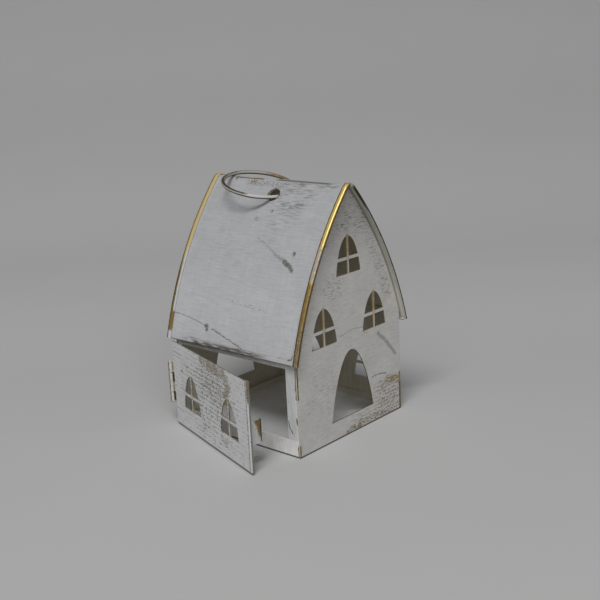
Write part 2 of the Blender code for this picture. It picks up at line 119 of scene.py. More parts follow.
ROOF_DOTTED_ROWS = (
    (((10.0, 81.2), (-8.0, 79.8), (-23.0, 78.7)), 0.5, 0.9, 1.0),
    (((-26.0, 56.4), (-45.0, 57.5)), 0.4, 0.5, 1.0),
)
ROOF_GOLD_SPOT = (((17.5, 142.0), (3.4, 1.2), 1.0),)
ROOF_CORNER_LINE = ((((-44.0, 56.6), (-46.4, 57.3), (-47.2, 60.0), (-47.5, 70.0)), 0.2, 0.4, 0.8),)

# Bands near the ridge: from, to and softness along X, then the same along Y
RIDGE_LINE = ((-2.0, -0.7, 0.5), (-36.0, -2.0, 6.0))
RIDGE_LOW_LINE = ((-3.7, -2.9, 0.4), (-44.0, -8.0, 4.0))
RIDGE_DOTS = ((-5.0, -3.1, 0.6), (-8.0, 22.0, 3.0))
RIDGE_GOLD = ((-2.1, -1.5, 0.4), (12.0, 33.0, 1.5))

# Dirt at the eave over the door: its heights and its part of the eave. Then the width of the
# rubbed rim round a hole, as the distances where it ends and is whole, and where the roof
# stands out past the gables.
EAVE_DIRT_HEIGHT = (57.8, 55.4)
EAVE_DIRT_RANGE = (-16.0, 26.0, 16.0)
RIM_REACH = (4.9, 4.1)
OVERHANG = (46.0, 46.6)

# On the front verge strip: heights where its finish changes, the painted part of its apex along
# X, and along Y where its metal ends and its paint begins. Then heights and edges on the rear one.
FRONT_WHITE_PART = (99.0, 112.0, 3.0)
FRONT_WORN_BELOW = (99.0, 95.0)
FRONT_SPECKLED_BELOW = (79.0, 72.0)
FRONT_APEX = (-0.2, 2.4, 0.8)
FRONT_METAL_BACK = (-49.3, -48.9)
FRONT_PAINT_BACK = (-48.5, -48.2)
REAR_BROWN_BELOW = (108.0, 88.0)
REAR_FOOT = (60.0, 57.5)
REAR_PATCH = (61.0, 68.0, 2.5)
REAR_OUTER_EDGE = (49.6, 50.2)
REAR_PAINT_BACK = (49.0, 48.6)

# On a gable, along X and Z
GABLE_SIDE_BAND = ((((14.0, 118.0), (22.0, 106.0), (29.0, 92.0), (35.0, 76.0)), 1.5, 6.0, 0.50),)
GABLE_WORN = (
    ((-14.0, 88.0), (14.0, 12.0), 0.45),
    ((-24.0, 32.0), (22.0, 20.0), 0.22),
)
GABLE_SCRATCHES = (
    (((25.6, 53.0), (31.0, 48.5), (37.0, 42.0), (41.9, 36.6)), 0.1, 1.9, 0.55),
    (((-9.0, 60.0), (1.0, 61.5), (12.0, 60.6)), 0.05, 0.5, 0.4),
    (((18.8, 28.0), (24.0, 28.2), (32.4, 26.8)), 0.05, 0.6, 0.8),
)
GABLE_GOLD_PATCH = ((((33.0, 22.6), (46.5, 19.8)), 1.4, 2.6, 1.0),)
GABLE_SILL_SPOT = (((13.5, 56.6), (4.0, 1.4), 0.6),)
GABLE_ROW_PITCH = 2.2

# Heights, on the gables and side walls: the dark line at the foot, which is painted shade where
# they stand on the floor, and the gold part of the front corner next to the door
FOOT_SHADE_LINE = (1.2, 0.7)
CORNER_GOLD = (34.0, 58.0, 1.0)

# On a side wall: the heights above and below which its paint is paler, as painted light on the
# lintel and sill, and nicks along Y and Z
LINTEL_PAINTED_LIGHT_ABOVE = (49.2, 49.8)
SILL_PAINTED_LIGHT_BELOW = (10.2, 9.6)
WALL_NICKS = (
    (((-39.8, 20.4), (-40.4, 17.2), (-42.4, 13.8)), 0.15, 0.4, 0.9),
    (((-45.7, 22.8), (-46.2, 19.9), (-46.8, 17.0)), 0.15, 0.35, 0.9),
)

# On the door, along it from the hinge, and up
DOOR_CHIP_AREAS = (
    ((46.0, 28.0), (44.0, 34.0), 0.12),
    ((58.0, 40.0), (30.0, 16.0), 0.05),
)
DOOR_RUBBED = (
    (((42.0, 51.0), (56.0, 50.0), (68.0, 48.5), (72.0, 44.0), (70.0, 38.0)), 1.6, 5.0, 1.0),
    (((66.0, 42.0), (62.0, 34.0), (58.5, 24.0), (57.5, 12.0)), 0.5, 2.0, 0.6),
)
DOOR_RUBBED_SPOTS = (((68.0, 9.0), (11.0, 5.0), 0.6),)
DOOR_MARK = (((14.3, 36.5), (1.8, 1.0), 0.8),)
DOOR_LINES = (
    (((4.0, 46.4), (14.0, 46.0)), 0.1, 0.4, 0.5),
    (((4.0, 11.2), (12.0, 10.6)), 0.1, 0.4, 0.5),
)
DOOR_ROW_PITCH = 2.7
DOOR_MIDDLE = ((3.6, 93.0, 0.2), (2.0, 51.0, 0.3))
DOOR_FREE_EDGE = (94.6, 95.0)
DOOR_FREE_LINE = (93.2, 93.9, 0.3)
# Heights of the dark line at the door's foot: painted shade next to the floor
DOOR_FOOT_SHADE = (1.9, 1.4)

# On the catch, how far out from the door's axis the gold and the dark edge begin
CATCH_GOLD = (8.4, 9.6)
CATCH_EDGE = (11.2, 11.7)


class Field:
    """A number that varies over a surface: a node's socket, with arithmetic."""

    def __init__(self, graph, socket):
        self.graph = graph
        self.socket = socket

    def __add__(self, other):
        return self.graph.math("ADD", self, other)

    def __radd__(self, other):
        return self.graph.math("ADD", other, self)

    def __sub__(self, other):
        return self.graph.math("SUBTRACT", self, other)

    def __rsub__(self, other):
        return self.graph.math("SUBTRACT", other, self)

    def __mul__(self, other):
        return self.graph.math("MULTIPLY", self, other)

    def __rmul__(self, other):
        return self.graph.math("MULTIPLY", other, self)

    def __neg__(self):
        return self.graph.math("MULTIPLY", self, -1.0)

    def __abs__(self):
        return self.graph.math("ABSOLUTE", self)


class Graph:
    """The nodes of one material. Places are in millimetres, in the part's own frame at rest."""

    def __init__(self, name, shift=(0.0, 0.0, 0.0)):
        self.material = bpy.data.materials.new(name)
        self.material.use_nodes = True
        self.nodes = self.material.node_tree.nodes
        self.links = self.material.node_tree.links
        self.nodes.clear()
        coordinates = self.nodes.new("ShaderNodeTexCoord")
        self.place = self.vector("SCALE", coordinates.outputs["Object"], scale=1000.0)
        self.x, self.y, self.z = self.split(self.place)
        self.nx, self.ny, self.nz = self.split(coordinates.outputs["Normal"])
        self.shift = shift

    def feed(self, socket, value):
        """Sets a socket to a number or a tuple, or links it to a field or another socket."""
        if isinstance(value, Field):
            value = value.socket
        if isinstance(value, bpy.types.NodeSocket):
            self.links.new(value, socket)
        else:
            socket.default_value = value

    def math(self, operation, *values, clamp=False):
        node = self.nodes.new("ShaderNodeMath")
        node.operation = operation
        node.use_clamp = clamp
        for socket, value in zip(node.inputs, values):
            self.feed(socket, value)
        return Field(self, node.outputs[0])

    def vector(self, operation, *values, scale=None):
        node = self.nodes.new("ShaderNodeVectorMath")
        node.operation = operation
        for socket, value in zip(node.inputs, values):
            self.feed(socket, value)
        if scale is not None:
            self.feed(node.inputs["Scale"], scale)
        return node.outputs[0]

    def length(self, vector):
        node = self.nodes.new("ShaderNodeVectorMath")
        node.operation = "LENGTH"
        self.feed(node.inputs[0], vector)
        return Field(self, node.outputs["Value"])

    def split(self, vector):
        node = self.nodes.new("ShaderNodeSeparateXYZ")
        self.feed(node.inputs[0], vector)
        return [Field(self, socket) for socket in node.outputs]

    def join(self, x, y, z):
        node = self.nodes.new("ShaderNodeCombineXYZ")
        for socket, value in zip(node.inputs, (x, y, z)):
            self.feed(socket, value)
        return node.outputs[0]

    def rise(self, value, low, high):
        """0 below low and 1 above high, or the reverse if low is above high."""
        node = self.nodes.new("ShaderNodeMapRange")
        node.interpolation_type = "SMOOTHSTEP"
        self.feed(node.inputs["Value"], value)
        first, second, start, end = (low, high, 0.0, 1.0) if low < high else (high, low, 1.0, 0.0)
        node.inputs["From Min"].default_value = first
        node.inputs["From Max"].default_value = second
        node.inputs["To Min"].default_value = start
        node.inputs["To Max"].default_value = end
        return Field(self, node.outputs["Result"])

    def within(self, value, low, high, soft):
        """1 between low and high, fading to 0 over a distance soft outside each."""
        return self.rise(value, low - soft, low) * self.rise(value, high + soft, high)

    def band(self, u, v, ranges):
        """1 inside a soft-edged rectangle, given by from, to and softness each way."""
        return self.within(u, *ranges[0]) * self.within(v, *ranges[1])

    def vary(self, noise, amount):
        """A noise from 0 to 1 as one that swings about 0, over an amount from end to end."""
        return (noise - 0.5) * amount

    def most(self, *values):
        result = values[0]
        for value in values[1:]:
            result = self.math("MAXIMUM", result, value)
        return result

    def noise(self, size, stretch=(1.0, 1.0, 1.0), detail=2.0, rough=0.5, warp=0.0, at=None, seed=0.0):
        """Noise whose features are about size millimetres across, times stretch along each axis."""
        node = self.nodes.new("ShaderNodeTexNoise")
        place = self.place if at is None else at
        scaled = self.vector("DIVIDE", place, tuple(size * s for s in stretch))
        offset = tuple(seed * k + s for k, s in zip((3.7, 5.1, 7.9), self.shift))
        self.feed(node.inputs["Vector"], self.vector("ADD", scaled, offset))
        node.inputs["Scale"].default_value = 1.0
        node.inputs["Detail"].default_value = detail
        node.inputs["Roughness"].default_value = rough
        node.inputs["Distortion"].default_value = warp
        return Field(self, node.outputs["Fac"])

    def blob(self, u, v, middle, radii):
        """A soft spot: 1 at its middle and 0 beyond its two radii."""
        du = (u - middle[0]) * (1.0 / radii[0])
        dv = (v - middle[1]) * (1.0 / radii[1])
        return self.rise(self.math("SQRT", du * du + dv * dv), 1.0, 0.35)

    def spots(self, u, v, spots):
        """The strongest of some soft spots, each a middle, radii and a strength."""
        return self.most(*(self.blob(u, v, middle, radii) * strength for middle, radii, strength in spots))

    def stroke(self, u, v, points, width, soft):
        """1 within width of a line through some points, fading to 0 over a distance soft."""
        nearest = None
        for (au, av), (bu, bv) in zip(points, points[1:]):
            du, dv = bu - au, bv - av
            square = du * du + dv * dv
            along = self.math("ADD", (u - au) * (du / square), (v - av) * (dv / square), clamp=True)
            across_u, across_v = u - au - along * du, v - av - along * dv
            gap = across_u * across_u + across_v * across_v
            nearest = gap if nearest is None else self.math("MINIMUM", nearest, gap)
        return self.rise(self.math("SQRT", nearest), width + soft, width)

    def strokes(self, u, v, strokes):
        """The strongest of some strokes, each some points, a width, a softness and a strength."""
        return self.most(*(self.stroke(u, v, points, width, soft) * strength
                           for points, width, soft, strength in strokes))

    def ragged(self, u, v, reach):
        """Two places shifted by up to about reach millimetres, so that strokes there aren't even."""
        du = self.noise(1.5, detail=2.0, seed=20.0)
        dv = self.noise(1.5, detail=2.0, seed=21.0)
        return u + self.vary(du, 2.0 * reach), v + self.vary(dv, 2.0 * reach)

    def door_place(self):
        """Distance along the door from its hinge, and out from the hinge's axis, at rest."""
        dx, dy = self.x - DOOR_AXIS[0], self.y - DOOR_AXIS[1]
        return dx * -SIN_DOOR - dy * COS_DOOR, dy * SIN_DOOR - dx * COS_DOOR

    def mix(self, factor, first, second):
        node = self.nodes.new("ShaderNodeMix")
        node.data_type = "RGBA"
        self.feed(node.inputs[0], factor)
        for socket, value in zip((node.inputs[6], node.inputs[7]), (first, second)):
            self.feed(socket, (*value, 1.0) if isinstance(value, tuple) else value)
        return node.outputs[2]

    def ramp(self, value, stops):
        node = self.nodes.new("ShaderNodeValToRGB")
        self.feed(node.inputs[0], value)
        elements = node.color_ramp.elements
        while len(elements) < len(stops):
            elements.new(0.5)
        for element, (position, colour) in zip(elements, stops):
            element.position = position
            element.color = (*colour, 1.0)
        return node.outputs[0]

    def finish(self, colour, metallic, roughness, height=None):
        """Connects the shader. Height is a field from 0 to 1 over the paint's relief."""
        shader = self.nodes.new("ShaderNodeBsdfPrincipled")
        self.feed(shader.inputs["Base Color"], colour)
        self.feed(shader.inputs["Metallic"], metallic)
        self.feed(shader.inputs["Roughness"], roughness)
        if height is not None:
            bump = self.nodes.new("ShaderNodeBump")
            bump.inputs["Strength"].default_value = 1.0
            bump.inputs["Distance"].default_value = PAINT_RELIEF / 1000
            self.feed(bump.inputs["Height"], height)
            self.feed(shader.inputs["Normal"], bump.outputs[0])
        output = self.nodes.new("ShaderNodeOutputMaterial")
        self.feed(output.inputs["Surface"], shader.outputs[0])
        return self.material


def brushed(graph, paint, brush, uneven=1.0):
    """The paint's colour, mottled and marked by the brush."""
    mottle = graph.noise(13.0, detail=4.0, rough=0.6, seed=11.0)
    level = 0.94 + graph.vary(mottle, 0.20 * uneven) + graph.vary(brush, 0.30 * uneven)
    return graph.vector("SCALE", paint, scale=level)


def worn_paint(graph, paint, brush, bare, tone, dirt_and_shade=None, uneven=1.0):
    """Brushed paint over metal. brush is the height of the brush marks, bare where the metal is
    uncovered, tone how bright it is there and dirt how far the dark undercoat shows, as grime and as
    painted shade."""
    metal = graph.ramp(tone, METAL_TONES)
    painted = brushed(graph, paint, brush, uneven)
    if dirt_and_shade is not None:
        painted = graph.mix(dirt_and_shade, painted, UNDERCOAT_AND_SHADE)
    colour = graph.mix(bare, painted, metal)
    roughness = PAINT_ROUGHNESS - bare * (PAINT_ROUGHNESS - METAL_ROUGHNESS)
    height = brush * 0.4 + (1.0 - bare) * 0.6
    return graph.finish(colour, bare * METAL_SHARE, roughness, height)


def dress(node, material):
    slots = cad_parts[node].material_slots
    if not slots:
        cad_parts[node].data.materials.append(material)
        return
    for slot in slots:
        slot.material = material


def roof_material():
    """The roof: brush marks along the ridge, scuffs and cracks on the door's side."""
    g = Graph("roof_paint")
    brush = g.noise(0.8, stretch=(1.0, 14.0, 1.0), detail=4.0, rough=0.65)
    streak = g.noise(0.55, stretch=(1.0, 12.0, 1.0), detail=3.0, warp=0.2, seed=5.0)
    speck = g.noise(0.6, stretch=(1.0, 1.6, 1.0), detail=2.0, seed=2.0)
    coarse = g.noise(5.0, stretch=(1.0, 2.0, 1.0), detail=3.0, seed=9.0)
    across = g.noise(0.9, stretch=(1.0, 1.0, 12.0), detail=3.0, at=g.join(0.0, g.y, g.z), seed=8.0)
    left = g.rise(g.x, 0.2, -0.2)
    outer = g.rise(g.math("SIGN", g.x) * g.nx * 0.8 + g.nz * 0.6, 0.0, 0.2)

    worn = sum(g.blob(g.y, g.z, middle, radii) * strength for middle, radii, strength in ROOF_WORN)
    dirt_and_shade = g.rise(streak + g.vary(coarse, 0.20) + worn * 0.14, 0.52, 0.72) * (worn + 0.14)

    # Cracks, spots and dotted rows
    u, v = g.ragged(g.y, g.z, 0.9)
    cracks = g.most(g.strokes(u, v, ROOF_CRACKS), g.spots(u, v, ROOF_SPOTS)) * g.rise(speck, 0.34, 0.52)
    rows = g.strokes(u, v, ROOF_DOTTED_ROWS) * g.rise(speck, 0.56, 0.66) * 0.75
    marks = g.most(cracks, rows, g.strokes(g.y, g.z, ROOF_CORNER_LINE)) * left

    # Dark lines and gold along the ridge
    ridge = g.band(g.x, g.y, RIDGE_LINE) * g.rise(streak, 0.28, 0.40)
    ridge = g.most(ridge, g.band(g.x, g.y, RIDGE_LOW_LINE) * g.rise(streak, 0.44, 0.54) * 0.8)
    dots = g.band(g.x, g.y, RIDGE_DOTS) * g.rise(speck, 0.50, 0.60)
    gold = g.band(g.x, g.y, RIDGE_GOLD) * g.rise(streak, 0.30, 0.44)
    gold = g.most(gold, g.spots(u, v, ROOF_GOLD_SPOT) * g.rise(speck, 0.42, 0.52))

    # Rubbed rim of each hole
    rim = g.length(g.join(abs(g.x) - HOLE[0], g.y - HOLE[1], g.z - HOLE[2]))
    rim = g.rise(rim + g.vary(speck, 1.6) + g.rise(g.z, 136.5, 133.5) * 0.9, *RIM_REACH)

    # Dirt along the eave, painted shade under its hem and beside the gables
    under_eave = g.rise(g.z + g.vary(coarse, 3.0), *EAVE_DIRT_HEIGHT) * g.within(g.y, *EAVE_DIRT_RANGE)
    hem = under_eave * g.rise(streak + coarse * 0.3, 0.54, 0.68)
    # Painted shade where the eave's faces look down
    lip = g.rise(g.nz, -0.15, -0.5) * g.rise(g.z, 57.2, 56.6) * 0.8
    # Painted shade on the underside where it meets each gable
    corner = (1.0 - outer) * g.rise(abs(g.y), 48.5, 48.1) * g.rise(abs(g.y), 46.6, 47.0) * 0.4

    dirt_and_shade = g.most(dirt_and_shade, marks * 0.85, ridge * 0.80, dots * 0.7, hem * 0.9) * outer
    dirt_and_shade = g.most(dirt_and_shade, lip, corner)
    bare = g.most(gold, rim, hem * 0.12, marks * 0.3) * outer
    tone = 0.34 + g.vary(speck, 0.4) + gold * 0.10 - rim * 0.16 - marks * 0.1
    overhang = g.rise(abs(g.y), *OVERHANG)
    paint = g.mix(overhang, g.mix(outer, INSIDE, ROOF_WHITE_PAINTED_SHADE), g.mix(outer, UNDER_ROOF, ROOF_WHITE_PAINTED_SHADE))
    # Painted light low on each slope and painted shade towards the ridge, offsetting how the lamps light
    # it
    level = 1.09 - g.rise(g.z, 62.0, 112.0) * 0.15 - g.rise(g.z, 112.0, 138.0) * 0.03
    paint = g.vector("SCALE", paint, scale=level + g.vary(across, 0.16))
    return worn_paint(g, paint, brush, bare, tone, dirt_and_shade, uneven=1.2)


def strip_noises(g, swing):
    """Specks, streaks along a verge strip, and a height that swings by some millimetres."""
    speck = g.noise(0.7, detail=2.0, seed=3.0)
    streak = g.noise(0.5, stretch=(3.0, 1.0, 6.0), detail=2.0, seed=6.0)
    return speck, streak, g.z + g.vary(g.noise(3.0, detail=2.0), swing)


def front_strip_material():
    """The front verge strip. Over the door it is bright gold above, painted below that, then
    worn and speckled. On the other slope its face is painted and its outer line dark."""
    g = Graph("front_verge")
    speck, streak, z = strip_noises(g, 5.0)
    left = g.rise(g.x, 0.0, -1.8)
    offset = g.length(g.join(g.x - ROOF_CENTRE[0], 0.0, g.z - ROOF_CENTRE[1])) - ROOF_RADIUS
    back = g.rise(g.y + g.vary(streak, 0.8), *FRONT_METAL_BACK)
    rear = g.rise(g.y + g.vary(streak, 0.4), *FRONT_PAINT_BACK) * left
    face = g.rise(g.ny, -0.88, -0.97)
    edge = g.most(back, face)

    # The slope over the door
    white_part = g.within(z, *FRONT_WHITE_PART)
    worn_part = g.rise(z, *FRONT_WORN_BELOW)
    speckled = g.rise(z, *FRONT_SPECKLED_BELOW)
    covered = g.most(white_part * g.rise(streak, 0.34, 0.46), worn_part * g.rise(streak, 0.60, 0.68) * 0.7)
    covered = g.most(covered, speckled * g.rise(speck, 0.54, 0.62) * 0.8)
    covered = covered * (1.0 - edge)
    tone = 1.02 - worn_part * 0.46 - speckled * 0.06 + g.vary(speck, 0.35) + g.vary(streak, 0.3)
    tone = tone - edge * (0.64 - worn_part * 0.40)

    # The other slope
    right_tone = 0.04 + g.vary(speck, 0.2) + g.rise(g.y, -50.4, -49.8) * 0.44
    inner = g.rise(offset + g.vary(streak, 0.5), -0.50, -0.75) * g.rise(z, 134.0, 124.0)
    apex = g.within(g.x, *FRONT_APEX) * g.rise(streak, 0.3, 0.5)

    tone = left * tone + (1.0 - left) * right_tone
    covered = g.most(covered * left + g.most(inner, apex * 0.8) * (1.0 - left), rear)
    paint = g.mix(rear, g.mix(left, STRIP_GREY, STRIP_WHITE), ROOF_WHITE_PAINTED_SHADE)
    return worn_paint(g, paint, streak, 1.0 - covered, tone)


def rear_strip_material():
    """The rear verge strip: gold above and browner below, with a dark outer edge."""
    g = Graph("rear_verge", shift=(2.0, 1.0, 4.0))
    speck, streak, z = strip_noises(g, 4.0)
    outer_edge = g.rise(g.y + g.vary(streak, 0.6), *REAR_OUTER_EDGE)
    low = g.rise(z, *REAR_BROWN_BELOW)
    foot = g.rise(z, *REAR_FOOT)
    patch = g.within(z, *REAR_PATCH)
    inner = g.rise(g.y + g.vary(streak, 1.2), *REAR_PAINT_BACK)
    inner = inner * (0.35 + g.within(z, 68.0, 100.0, 8.0) * 0.65)
    covered = g.most(g.rise(streak, 0.66, 0.74) * 0.6, foot, inner) * (1.0 - patch)
    covered = covered * (1.0 - outer_edge)
    tone = 1.05 - low * 0.52 + g.vary(speck, 0.25) - outer_edge * (0.62 - low * 0.30) + patch * 0.03
    return worn_paint(g, WHITE, streak, 1.0 - covered, tone)


def gable_material(name, side, shift, marks):
    """A gable: brush marks across, worn towards the top and darker there, partly as painted shade under
    the roof, metal at the openings' edges.
    marks is how strongly the front gable's own scratches and patch show."""
    g = Graph(name, shift=shift)
    brush = g.noise(0.8, stretch=(10.0, 1.0, 1.0), detail=4.0, rough=0.65)
    streak = g.noise(0.5, stretch=(7.0, 1.0, 1.0), detail=3.0, warp=0.3, seed=5.0)
    speck = g.noise(0.6, stretch=(2.0, 1.0, 1.0), detail=2.0, seed=2.0)
    coarse = g.noise(6.0, stretch=(1.6, 1.0, 1.0), detail=3.0, seed=9.0)
    outside = g.rise(g.ny * side, 0.2, 0.6)
    reveal = (1.0 - g.rise(abs(g.ny), 0.3, 0.7)) * g.rise(abs(g.x), 45.4, 44.8)
    x, z = g.x, g.z

    worn = g.most(g.rise(z, 100.0, 122.0) * 0.62, g.strokes(x, z, GABLE_SIDE_BAND))
    worn = g.most(worn, g.spots(x, z, GABLE_WORN))
    dirt_and_shade = g.rise(streak + g.vary(coarse, 0.24) + worn * 0.12, 0.49, 0.78) * (worn + 0.24)
    # Darker towards the apex: partly painted shade under the roof's overhang, partly dark undercoat
    dirt_and_shade = g.most(dirt_and_shade, g.rise(z, 84.0, 130.0) * 0.32)
    u, v = g.ragged(x, z, 0.9)
    scratches = g.strokes(u, v, GABLE_SCRATCHES) * g.rise(streak, 0.30, 0.46) * marks
    dirt_and_shade = g.most(dirt_and_shade, scratches)

    # Chips in rows at the lower corner, a gold patch above them and wear along the foot
    rows = g.math("SINE", z * (2.0 * math.pi / GABLE_ROW_PITCH)) * 0.05
    corner = g.rise(x, 15.0, 28.0) * g.rise(z, 27.0, 20.0)
    corner = g.most(corner * 0.85, g.rise(x, -8.0, 8.0) * g.rise(z, 13.0, 5.0) * 0.8)
    chips = corner * g.rise(speck + rows + corner * 0.05, 0.54, 0.63)
    patch = g.strokes(u, v, GABLE_GOLD_PATCH)
    patch = g.rise(patch * 0.12 + streak * 0.6 + speck * 0.4, 0.56, 0.66) * patch * marks
    low_edge = g.rise(z - (1.2 + g.within(x, 2.0, 24.0, 14.0) * 3.4) * (coarse + 0.5), 0.4, -0.5)
    low_edge = low_edge * g.rise(streak * 0.4 + speck * 0.6, 0.44, 0.58) * g.rise(x, -16.0, -4.0)
    spot = g.spots(u, v, GABLE_SILL_SPOT) * g.rise(speck, 0.46, 0.58)
    # Painted shade: a dark line at the foot, where the gable stands on the floor
    foot = g.rise(z, *FOOT_SHADE_LINE)

    # Metal at the gable's own edges and at the openings
    left_edge = g.rise(x + speck * 0.8, -44.9, -45.4)
    left_edge = left_edge * g.most(g.within(z, *CORNER_GOLD), g.rise(z, 8.0, 6.5))
    right_edge = g.rise(x - speck * 0.8, 44.4, 44.9) * g.rise(z, 24.5, 22.5)
    bars, upper_bars = 0.0, 0.0
    for middle, sill in GABLE_WINDOWS:
        top = sill + WINDOW_HEIGHT
        bars = g.within(abs(x - middle), *BAR_EDGES) * g.within(z, sill, top, 0.2) + bars
        upper_bars = g.rise(abs(x - middle), 1.1, 0.9) * g.within(z, sill + 11.5, top, 1.0) + upper_bars
    khaki = g.most(reveal * 0.95, bars * g.rise(speck, 0.34, 0.44) * 0.8)
    khaki = g.most(khaki, upper_bars * g.rise(speck, 0.30, 0.50) * 0.9)

    bare = g.most(chips * 0.85, patch, low_edge * 0.9, spot, left_edge, right_edge) * outside
    bare = g.most(bare, khaki) * (1.0 - foot * 0.7)
    tone = 0.27 + g.vary(speck, 0.6) + patch * 0.24 + low_edge * 0.04 + (left_edge + right_edge) * 0.12
    tone = tone + khaki * (0.06 + g.rise(z, 50.0, 56.0) * 0.28)
    paint = g.mix(g.most(outside, reveal), INSIDE, WARM_WHITE)
    dirt_and_shade = g.most(dirt_and_shade * (outside * 0.7 + 0.3), foot)
    return worn_paint(g, paint, brush, bare, tone, dirt_and_shade, uneven=1.5)


def side_wall_material(name, side, shift, painted_light_white):
    """A side wall: upright brush marks, its lintel and sill in the given paler white as painted light, and
    worn front corners.
    """
    g = Graph(name, shift=shift)
    brush = g.noise(1.0, stretch=(1.0, 2.0, 8.0), detail=3.0)
    streak = g.noise(0.6, stretch=(1.0, 1.5, 5.0), detail=2.0, warp=0.3, seed=5.0)
    outside = g.rise(g.nx * side, 0.2, 0.6)
    reveal = 1.0 - g.rise(abs(g.nx), 0.3, 0.7)
    shown = g.most(outside, reveal)
    u, v = g.ragged(g.y, g.z, 0.5)
    # Painted shade: a dark line at the foot, where the wall stands on the floor
    foot = g.rise(g.z, *FOOT_SHADE_LINE)
    dirt_and_shade = g.most(g.rise(streak, 0.60, 0.80) * 0.30, g.strokes(u, v, WALL_NICKS), foot) * shown
    corner = g.rise(g.y - streak * 1.2, -46.2, -46.6)
    corner = corner * g.most(g.within(g.z, *CORNER_GOLD), g.rise(g.z, 8.0, 6.0))
    bare = g.most(corner * 0.9, g.rise(streak, 0.70, 0.76) * 0.5) * outside
    tone = 0.36 + g.vary(streak, 0.4)
    # Painted light: the lintel and sill take a paler white
    painted_light_band = g.most(g.rise(g.z, *LINTEL_PAINTED_LIGHT_ABOVE), g.rise(g.z, *SILL_PAINTED_LIGHT_BELOW))
    paint = g.mix(shown, INSIDE, g.mix(painted_light_band, WHITE, painted_light_white))
    return worn_paint(g, paint, brush, bare, tone, dirt_and_shade, uneven=1.3)


def door_material():
    """The door: rows of small chips all over, and gold-brown rubbed patches near the free end."""
    g = Graph("door_paint", shift=(5.0, 0.0, 2.0))
    s, z = g.door_place()[0], g.z
    at = g.join(s, 0.0, z)
    facing = g.nx * -COS_DOOR + g.ny * SIN_DOOR
    front = g.rise(facing, 0.2, 0.6)
    sides = 1.0 - g.rise(abs(facing), 0.3, 0.7)
    reveal = sides * g.band(s, z, DOOR_MIDDLE)
    brush = g.noise(0.8, stretch=(9.0, 1.0, 1.0), detail=4.0, rough=0.65, at=at)
    speck = g.noise(0.7, stretch=(1.0, 1.0, 0.9), detail=1.0, at=at, seed=2.0)
    coarse = g.noise(4.0, detail=3.0, at=at, seed=7.0)

    rows = g.math("SINE", z * (2.0 * math.pi / DOOR_ROW_PITCH)) * 0.06
    density = sum(g.blob(s, z, middle, radii) * strength for middle, radii, strength in DOOR_CHIP_AREAS)
    chips = g.rise(speck + rows + density + g.vary(coarse, 0.25), 0.66, 0.72)
    rubbed = g.most(g.strokes(s, z, DOOR_RUBBED), g.spots(s, z, DOOR_RUBBED_SPOTS))
    rubbed = g.rise(speck * 0.8 + coarse * 0.5 + rubbed * 0.30, 0.80, 0.98) * g.rise(rubbed, 0.05, 0.5)
    lines = g.most(g.spots(s, z, DOOR_MARK), g.strokes(s, z, DOOR_LINES))
    free_top = g.rise(s + speck * 0.6, *DOOR_FREE_EDGE) * g.rise(z - speck * 6.0, 36.0, 39.5)
    free_line = g.within(s, *DOOR_FREE_LINE) * g.rise(speck, 0.36, 0.5) * 0.8
    # Painted shade: a dark line at the door's foot
    foot = g.rise(z, *DOOR_FOOT_SHADE)
    bars = 0.0
    for middle in DOOR_WINDOWS:
        bars = g.within(abs(s - middle), *BAR_EDGES) * g.within(z, *DOOR_WINDOW_RANGE, 0.3) + bars
    khaki = g.most(reveal * 0.8, bars * g.rise(speck, 0.36, 0.46) * 0.7 * front)

    dirt_and_shade = g.most(chips * 0.80, lines, free_line, foot * 0.8) * (front * 0.75 + 0.25)
    dirt_and_shade = g.most(dirt_and_shade, (sides - reveal) * 0.75, rubbed * front * 0.45)
    bare = g.most(rubbed * 0.45, chips * g.rise(coarse, 0.45, 0.6) * 0.3, free_top) * front
    bare = g.most(bare, khaki)
    tone = 0.36 - g.vary(speck, 1.6) + rubbed * 0.14 + free_top * 0.10 + khaki * 0.06
    paint = g.mix(g.most(front, reveal), INNER_DOOR, DOOR_WHITE)
    return worn_paint(g, paint, brush, bare, tone, dirt_and_shade, uneven=1.1)


def catch_material():
    """The catch: painted, with its outer end rubbed to gold and a darker edge."""
    g = Graph("catch_paint")
    out = g.door_place()[1]
    speck = g.noise(0.8, detail=2.0)
    brush = g.noise(0.8, stretch=(1.0, 1.0, 4.0), detail=2.0)
    far = g.rise(-out + g.vary(speck, 4.0) + (g.z - 22.0) * 0.30, *CATCH_GOLD)
    edge = g.rise(-out, *CATCH_EDGE)
    bare = g.most(far * g.rise(g.z + speck * 3.0, 17.0, 20.0), edge)
    tone = 0.46 + g.vary(speck, 0.5) - edge * 0.30
    return worn_paint(g, WHITE, brush, bare, tone)


def hinge_material(name, shift):
    """A hinge leaf or the pin: cream paint, worn at the back."""
    g = Graph(name, shift=shift)
    speck = g.noise(0.6, stretch=(1.0, 1.0, 2.5), detail=2.0)
    brush = g.noise(0.7, stretch=(1.0, 1.0, 4.0), detail=2.0, seed=1.0)
    rear = g.rise(g.nx * -0.67 + g.ny * 0.74 + g.vary(speck, 0.8), 0.35, 0.65)
    bare = g.most(rear, g.rise(speck, 0.62, 0.70))
    return worn_paint(g, CREAM, brush, bare, 0.34 + g.vary(speck, 0.5))


